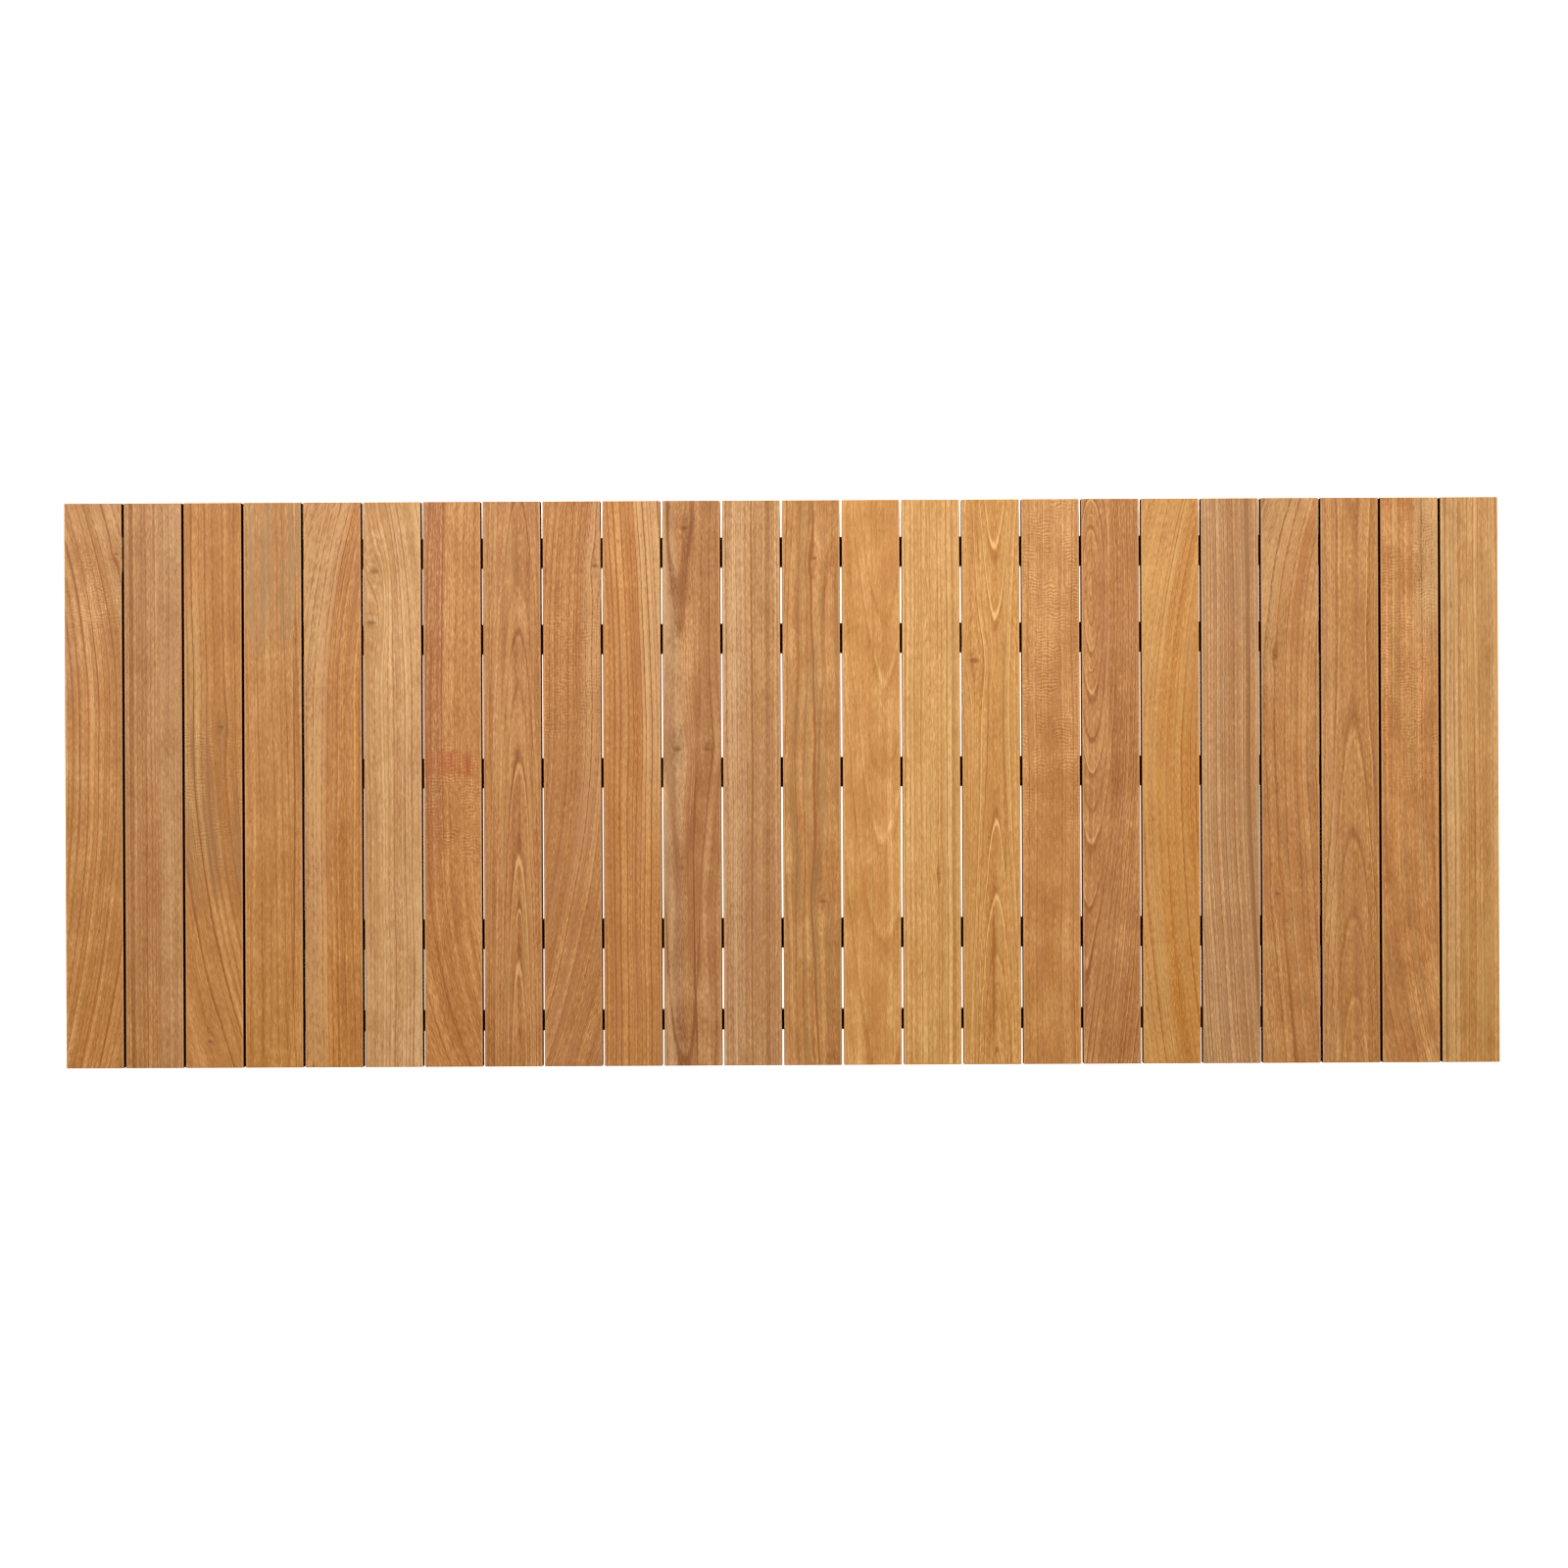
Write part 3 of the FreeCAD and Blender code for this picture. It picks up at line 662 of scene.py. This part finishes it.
# %% The material of one board
def make_teak(name, ground, flush, seed, where, half_width, half_length, gap_shade, turn=0.0,
              knots=(), sap=STRAW, **facts):
    """Teak for one board. where is the middle of its upper face, in metres."""
    material = bpy.data.materials.new(name)
    material.use_nodes = True
    tree = material.node_tree
    own = add(tree, "TexCoord", {}, output="Object")
    place = add(tree, "VectorMath", {0: own, 1: where}, operation="SUBTRACT")
    place = add(tree, "Mapping", {"Vector": place, "Rotation": (0, 0, turn),
                                  "Scale": (1000, 1000, 1000)})
    place, knot_shade = with_knots(tree, place, knots)

    grain = tree.nodes.new("ShaderNodeGroup")
    grain.node_tree = teak
    tree.links.new(place, grain.inputs["Place"])
    if knots:
        tree.links.new(knot_shade, grain.inputs["Knot"])
    values = dict(PLAIN)
    values.update({fact.replace("_", " ").capitalize(): given for fact, given in facts.items()})
    values.update({
        "Seed": seed, "Half width": half_width, "Half length": half_length,
        "Left gap shade": gap_shade[0], "Right gap shade": gap_shade[1],
        "Dark": shade(ground, -STEPS), "Ground": linear(ground), "Pale": shade(ground, STEPS),
        "Flush": linear(flush), "Sap": linear(sap),
    })
    for fact, given in values.items():
        grain.inputs[fact].default_value = given

    # The pores and rings are a fraction of a millimetre deep.
    bump = add(tree, "Bump", {"Strength": 0.35, "Distance": 0.0002,
                              "Height": grain.outputs["Height"]})
    shader = tree.nodes["Principled BSDF"].inputs
    tree.links.new(grain.outputs["Color"], shader["Base Color"])
    tree.links.new(grain.outputs["Roughness"], shader["Roughness"])
    tree.links.new(grain.outputs["Gloss"], shader["Specular IOR Level"])
    tree.links.new(bump, shader["Normal"])
    shader["IOR"].default_value = 1.5
    return material


# %% [markdown]
# ## The 24 slats
#
# The slats are numbered from the left. They could all come from one set of facts with a random
# spread, but a mat is put together from whatever boards are at hand, and a spread makes them all
# a little alike. So each has its own list. A knot is its place across and along, and its radius.

# %% The slats' facts
SLATS = [
    # 1: bowed to the left at both ends, with a vein and a pin knot at the rear
    dict(ground="c58c51", flush=AMBER, drift=1.8, pith_across=-90, pith_depth=30, ring=6.0,
         bend_at=60, bend_above=-6.5, bend_below=-3.2, lines=1.3, outline=0.6, mottle=1.3,
         sap="cb9a63", sap_share=0.8, sap_edge=32, sap_at=250, sap_reach=300, ripple=0.35,
         ripple_at=200, ripple_reach=50, vein=1.0, vein_across=-4, vein_at=230, vein_reach=90,
         knots=[(25, 246, 1.5)]),
    # 2: plain and quarter-sawn, with a paler right side
    dict(ground="bf8851", flush=PINK, drift=1.5, pith_across=-150, pith_depth=5, ring=3.2,
         sweep=4, waver=1.2, lines=0.9, mottle=1.2, sap="caa071", sap_share=0.5, sap_edge=6),
    # 3: a brown stain in the middle, under a ripple
    dict(ground="c4884a", flush="a07045", flush_share=0.8, flush_at=-20, flush_reach=120,
         drift=0.8, pith_across=-70, pith_depth=45, ring=6.0, bend_at=70, bend_below=4.5,
         lines=0.8, outline=0.1, fibres=0.7, sap="caa068", sap_share=0.6, sap_edge=-12,
         sap_side=-1, sap_at=60, sap_reach=150, ripple=0.35, ripple_at=-15, ripple_reach=90,
         vein=0.9, vein_across=-22, vein_at=-80, vein_reach=170,
         knots=[(8, 62, 2.2), (-5, -272, 2.0)]),
    # 4: calm, greyer at the rear, with a long vein
    dict(ground="c3894c", flush="a8855c", flush_share=0.7, flush_at=230, flush_reach=90,
         drift=1.8, pith_across=60, pith_depth=50, tilt=-0.02, ring=6.5, lines=0.5, fibres=0.8,
         vein=1.0, vein_across=22, vein_at=-40, vein_reach=190),
    # 5: a pale left side that widens to the rear
    dict(ground="c08140", flush=PINK, drift=1.3, pith_across=130, pith_depth=20, ring=5.5,
         bend_at=70, bend_above=6, lines=0.9, outline=0.5, sap="dcae78", sap_share=0.85,
         sap_edge=-8, sap_side=-1),
    # 6: pale, with two knots at the rear
    dict(ground="ce9b66", flush=STRAW, pith_across=110, pith_depth=20, ring=4.0, bend_at=90,
         bend_above=-3.5, sweep=10, lines=1.3, mottle=1.2, sap="d9ac7a", sap_share=0.6,
         sap_edge=8, knots=[(-19, 226, 3.4), (-22, 172, 3.0)]),
    # 7: a rust-red bar in the middle, and grain that sweeps right at the front
    dict(ground="c3864a", flush="b4592a", flush_share=1.0, flush_at=22, flush_reach=15, drift=1.0,
         pith_across=-70, pith_depth=40, ring=6.5, bend_at=-80, bend_above=0.3, bend_below=9,
         lines=0.6, sap="b07246", sap_share=0.8, sap_edge=-10, sap_side=-1, sap_at=160,
         sap_reach=290, ripple=0.4, ripple_at=-20, ripple_reach=70, vein=0.7, vein_across=-22,
         vein_at=100, vein_reach=60),
    # 8: fine arches with pale outlines
    dict(ground="b97b45", flush=STRAW, drift=0.9, pith_across=6, pith_depth=17, tilt=0.045,
         ring=3.0, sweep=4, waver=1.4, outline=1.7),
    # 9: a soft bow, pinker at the front
    dict(ground="bc8046", flush=PINK, flush_share=0.6, flush_at=-200, flush_reach=260, drift=0.5,
         pith_across=-60, pith_depth=40, ring=4.5, bend_at=100, bend_above=2, bend_below=-4,
         lines=0.9, outline=0.7, sap="ca9764", sap_share=0.75, sap_edge=9, sap_at=130,
         sap_reach=230, ripple=0.25, ripple_at=120, ripple_reach=90, knots=[(25, 231, 2.4)]),
    # 10: bold dark lines, and a pale right side at the rear
    dict(ground="c58645", flush=PINK, pith_across=-75, pith_depth=30, ring=5.0, bend_at=40,
         bend_above=-1.2, lines=1.9, outline=0.2, sap="dcb27c", sap_share=0.85, sap_edge=11,
         sap_at=200, sap_reach=260),
    # 11: wandering figure, with a dark vein and three knots
    dict(ground="b9814c", flush="a86c42", flush_share=0.5, flush_at=-60, flush_reach=200,
         pith_across=-12, pith_depth=34, tilt=-0.03, ring=6.0, sweep=24, waver=4, lines=0.9,
         fibres=0.9, mottle=1.5, sap="c0976c", sap_share=0.9, sap_edge=-13, sap_side=-1, vein=1.7,
         vein_across=0, vein_at=-150, vein_reach=150,
         knots=[(-7, 271, 3.0), (-16, 36, 3.4), (17, 36, 3.0)]),
    # 12: quarter-sawn, with a paler left side
    dict(ground="bf8c57", flush="b87c58", flush_share=0.4, flush_at=-200, flush_reach=300,
         pith_across=160, pith_depth=8, ring=3.6, sweep=4, waver=1.2, lines=0.9, sap="d2a678",
         sap_share=0.8, sap_edge=-6, sap_side=-1),
    # 13: loose figure, with a vein all the way and two knots
    dict(ground="c88d50", flush=OLIVE, flush_share=0.55, pith_across=22, pith_depth=40,
         tilt=0.012, ring=6, sweep=22, waver=8, lines=1.2, outline=0.2, fibres=0.9, mottle=1.6,
         vein=1.3, vein_across=4, knots=[(3, 238, 2.4), (11, -126, 2.8)]),
    # 14: pale and calm, with broad arches
    dict(ground="d49b56", flush=AMBER, pith_across=13, pith_depth=60, tilt=-0.05, ring=5.0,
         lines=0.5, outline=0.5, fibres=0.8, mottle=1.5),
    # 15: pale and straight, with bold lines
    dict(ground="d59f5b", flush=STRAW, drift=0.6, pith_across=-170, pith_depth=10, ring=5.5,
         sweep=4, waver=1.2, lines=1.4, outline=0.6, knots=[(7, -97, 1.6)]),
    # 16: outlined arches, with a knot and a short vein
    dict(ground="cf944d", flush=STRAW, pith_across=4, pith_depth=24, tilt=0.02, crook=-1.6,
         ring=3.2, sweep=4, waver=3, outline=1.8, vein=1.3, vein_across=1, vein_at=-205,
         vein_reach=70, knots=[(-18, 129, 3.4)]),
    # 17: hardly any lines, but a ripple
    dict(ground="c88c4c", flush=PINK, flush_share=0.2, drift=0.8, pith_across=80, pith_depth=60,
         ring=6.0, lines=0.4, fibres=0.8, mottle=1.3, ripple=0.45, ripple_at=160,
         ripple_reach=230),
    # 18: fine arches, darker at the front left
    dict(ground="be8247", flush=PINK, pith_across=-19, pith_depth=22, tilt=-0.08, crook=-1.3,
         ring=3.0, bend_at=20, bend_below=-1.8, sweep=6, waver=3, lines=1.3, outline=1.1,
         mottle=1.3, sap="b2764a", sap_share=0.6, sap_edge=-8, sap_side=-1, sap_at=-280,
         sap_reach=130),
    # 19: golden, bowed to the right at both ends
    dict(ground="c7863a", flush=STRAW, drift=0.6, pith_across=-100, pith_depth=30, ring=5.0,
         bend_at=10, bend_above=4.5, bend_below=2.6, lines=0.8, sap="dba868", sap_share=0.6,
         sap_edge=-14, sap_side=-1),
    # 20: greyer, with many straight lines
    dict(ground="c38f5b", flush="ae8a64", flush_share=0.4, pith_across=150, pith_depth=6,
         ring=3.3, bend_at=80, bend_below=1.1, sweep=6, waver=1.4, lines=2.3, outline=0.8),
    # 21: swept to the right at the rear, with two small knots
    dict(ground="be854c", flush=AMBER, drift=0.5, pith_across=-40, pith_depth=38, ring=5.0,
         bend_at=110, bend_above=8, bend_below=1.2, waver=3, lines=0.9, mottle=1.2, sap="c99f68",
         sap_share=0.7, sap_edge=-10, sap_side=-1, sap_at=240, sap_reach=180,
         knots=[(-16, 133, 1.7), (-14, -120, 1.9)]),
    # 22: slow arches, with a pale left side
    dict(ground="bd8344", flush=PINK, pith_across=4, pith_depth=34, tilt=0.035, crook=-1.0,
         ring=4.5, sweep=8, waver=3, lines=0.7, outline=0.6, sap="cb9763", sap_share=0.5,
         sap_edge=-12, sap_side=-1),
    # 23: an olive flush, and a ripple at the rear
    dict(ground="c8884a", flush=OLIVE, pith_across=90, pith_depth=50, ring=6.0, bend_at=-60,
         bend_below=5, lines=0.6, mottle=1.5, sap="d3a872", sap_share=0.85, sap_edge=6,
         sap_at=280, sap_reach=150, ripple=0.32, ripple_at=150, ripple_reach=170),
    # 24: straight, with a pale left side
    dict(ground="ca9354", flush=STRAW, flush_share=0.5, drift=1.1, pith_across=-140,
         pith_depth=15, ring=5.0, sweep=5, lines=1.6, mottle=1.2, sap="d0a36e", sap_share=0.9,
         sap_edge=-12, sap_side=-1),
]
print("slats described:", len(SLATS), "and knots:", sum(len(f.get("knots", ())) for f in SLATS))

# %% Finish the slats
# Half of a size in metres, times 1000, is 500 times the size.
def dress(piece, material):
    """Give a piece this one material."""
    piece.data.materials.clear()
    piece.data.materials.append(material)


for number, facts in enumerate(SLATS, start=1):
    name = "slat_%02d" % number
    low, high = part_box(name)
    middle = ((low.x + high.x) / 2, (low.y + high.y) / 2, high.z)
    # The mat's two outer faces get no painted shade, and every face inside a gap does.
    left_shade_on = 0 if number == 1 else 1  # the mat's two outer faces are clean
    right_shade_on = 0 if number == len(SLATS) else 1
    material = make_teak("oiled teak " + name, seed=number, where=middle,
                         gap_shade=(left_shade_on, right_shade_on), half_width=500 * (high.x - low.x),
                         half_length=500 * (high.y - low.y), **facts)
    dress(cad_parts[name], material)
print("slats finished:", len(SLATS))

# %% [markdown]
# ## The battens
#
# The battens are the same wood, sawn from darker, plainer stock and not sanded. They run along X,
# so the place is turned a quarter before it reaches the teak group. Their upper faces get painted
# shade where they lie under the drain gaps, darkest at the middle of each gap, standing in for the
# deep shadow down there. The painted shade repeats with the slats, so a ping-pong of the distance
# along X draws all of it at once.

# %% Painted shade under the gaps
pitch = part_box("slat_02")[0].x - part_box("slat_01")[0].x
gap_shade_whole = 0.0045  # metres from the middle of a gap
gap_shade_gone = 0.010
print("slat pitch in mm:", round(1000 * pitch, 2))


def paint_gap_shade(material, top):
    """Paint shade on a batten's upper face, at this height in metres, where it lies under a gap.
    """
    tree = material.node_tree
    shader = tree.nodes["Principled BSDF"].inputs
    own = tree.nodes.new("ShaderNodeSeparateXYZ")
    tree.links.new(add(tree, "TexCoord", {}, output="Object"), own.inputs["Vector"])
    from_gap = add(tree, "Math", {0: own.outputs["X"], 1: pitch / 2}, operation="PINGPONG")
    shaded = add(tree, "MapRange", {"Value": from_gap, "From Min": gap_shade_whole,
                                     "From Max": gap_shade_gone, "To Min": 0.97, "To Max": 0.0},
                  interpolation_type="SMOOTHSTEP")
    on_top = add(tree, "MapRange", {"Value": own.outputs["Z"], "From Min": top - 0.0035,
                                    "From Max": top - 0.001})
    shaded = add(tree, "Math", {0: shaded, 1: on_top}, operation="MULTIPLY")
    unshaded = shader["Base Color"].links[0].from_socket
    # Painted shade: the gap colour laid over the wood, with no shine there.
    color = add(tree, "Mix", {0: shaded, 6: unshaded, 7: GAP_SHADE_COLOR}, output=2, data_type="RGBA")
    gloss = add(tree, "MapRange", {"Value": shaded, "To Min": SATIN, "To Max": 0.0})
    tree.links.new(color, shader["Base Color"])
    tree.links.new(gloss, shader["Specular IOR Level"])


# %% Finish the battens
ROWS = ["rear_outer", "rear_inner", "centre", "front_inner", "front_outer"]
for number, row in enumerate(ROWS, start=1):
    name = "batten_" + row
    low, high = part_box(name)
    middle = ((low.x + high.x) / 2, (low.y + high.y) / 2, high.z)
    material = make_teak("sawn teak " + name, ground="9a6a40", flush="7f5636",
                         seed=40 + number, where=middle, turn=math.pi / 2, gap_shade=(0, 0),
                         half_width=500 * (high.y - low.y), half_length=500 * (high.x - low.x),
                         pith_across=-60 + 25 * number, pith_depth=40, ring=4.5, tilt=0.01)
    paint_gap_shade(material, high.z)
    dress(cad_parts[name], material)
print("battens finished:", len(ROWS))

# %% [markdown]
# ## Steel and rubber
#
# The screws and washers are stainless steel. Their heads were stamped or turned and then tumbled
# in a drum, so they are bright but not mirrors. The feet are moulded black rubber, matt, with a
# little dust in their skin. Both are small and seen only from below, so one noise pattern each
# is enough: it roughens the steel in marks, and greys the rubber in patches.

# %% Stainless steel
# Tumbling gives the eye a soft, slightly uneven shine.
tumble_mark = 1.1  # mm

steel = bpy.data.materials.new("tumbled stainless steel")
steel.use_nodes = True
tree = steel.node_tree
shader = tree.nodes["Principled BSDF"].inputs
own = add(tree, "TexCoord", {}, output="Object")
tumbled = add(tree, "TexNoise", {"Vector": own, "Scale": 1000 / tumble_mark, "Detail": 3.0})
steel_rough = add(tree, "MapRange", {"Value": tumbled, "From Min": 0.3, "From Max": 0.7,
                                     "To Min": 0.24, "To Max": 0.42})
shader["Base Color"].default_value = linear("c8c5be")
shader["Metallic"].default_value = 1.0
tree.links.new(steel_rough, shader["Roughness"])
print("steel marks in mm:", tumble_mark)

# %% Rubber
# Moulding gives the eye a dull black skin, greyer where dust sits in it.
dust_patch = 2.9  # mm

rubber = bpy.data.materials.new("moulded rubber")
rubber.use_nodes = True
tree = rubber.node_tree
shader = tree.nodes["Principled BSDF"].inputs
own = add(tree, "TexCoord", {}, output="Object")
dust = add(tree, "TexNoise", {"Vector": own, "Scale": 1000 / dust_patch, "Detail": 4.0})
dusty = add(tree, "MapRange", {"Value": dust, "From Min": 0.45, "From Max": 0.75})
grey = add(tree, "Mix", {0: dusty, 6: linear("1f1e1d"), 7: linear("3a3835")}, output=2,
           data_type="RGBA")
skin = add(tree, "Bump", {"Strength": 0.2, "Distance": 0.0002, "Height": dust})
shader["Roughness"].default_value = 0.72
tree.links.new(grey, shader["Base Color"])
tree.links.new(skin, shader["Normal"])
print("rubber dust patches in mm:", dust_patch)

# %% Finish the fittings
FITTINGS = {"deck_screws": steel, "foot_washers": steel, "foot_screws": steel, "feet": rubber}
for kind, finish in FITTINGS.items():
    for row in ROWS:
        dress(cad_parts[kind + "_" + row], finish)
print("fittings finished:", len(FITTINGS) * len(ROWS))

# %% Finish
low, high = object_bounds()
print("visual box in mm:", [round(1000 * side) for side in high - low])
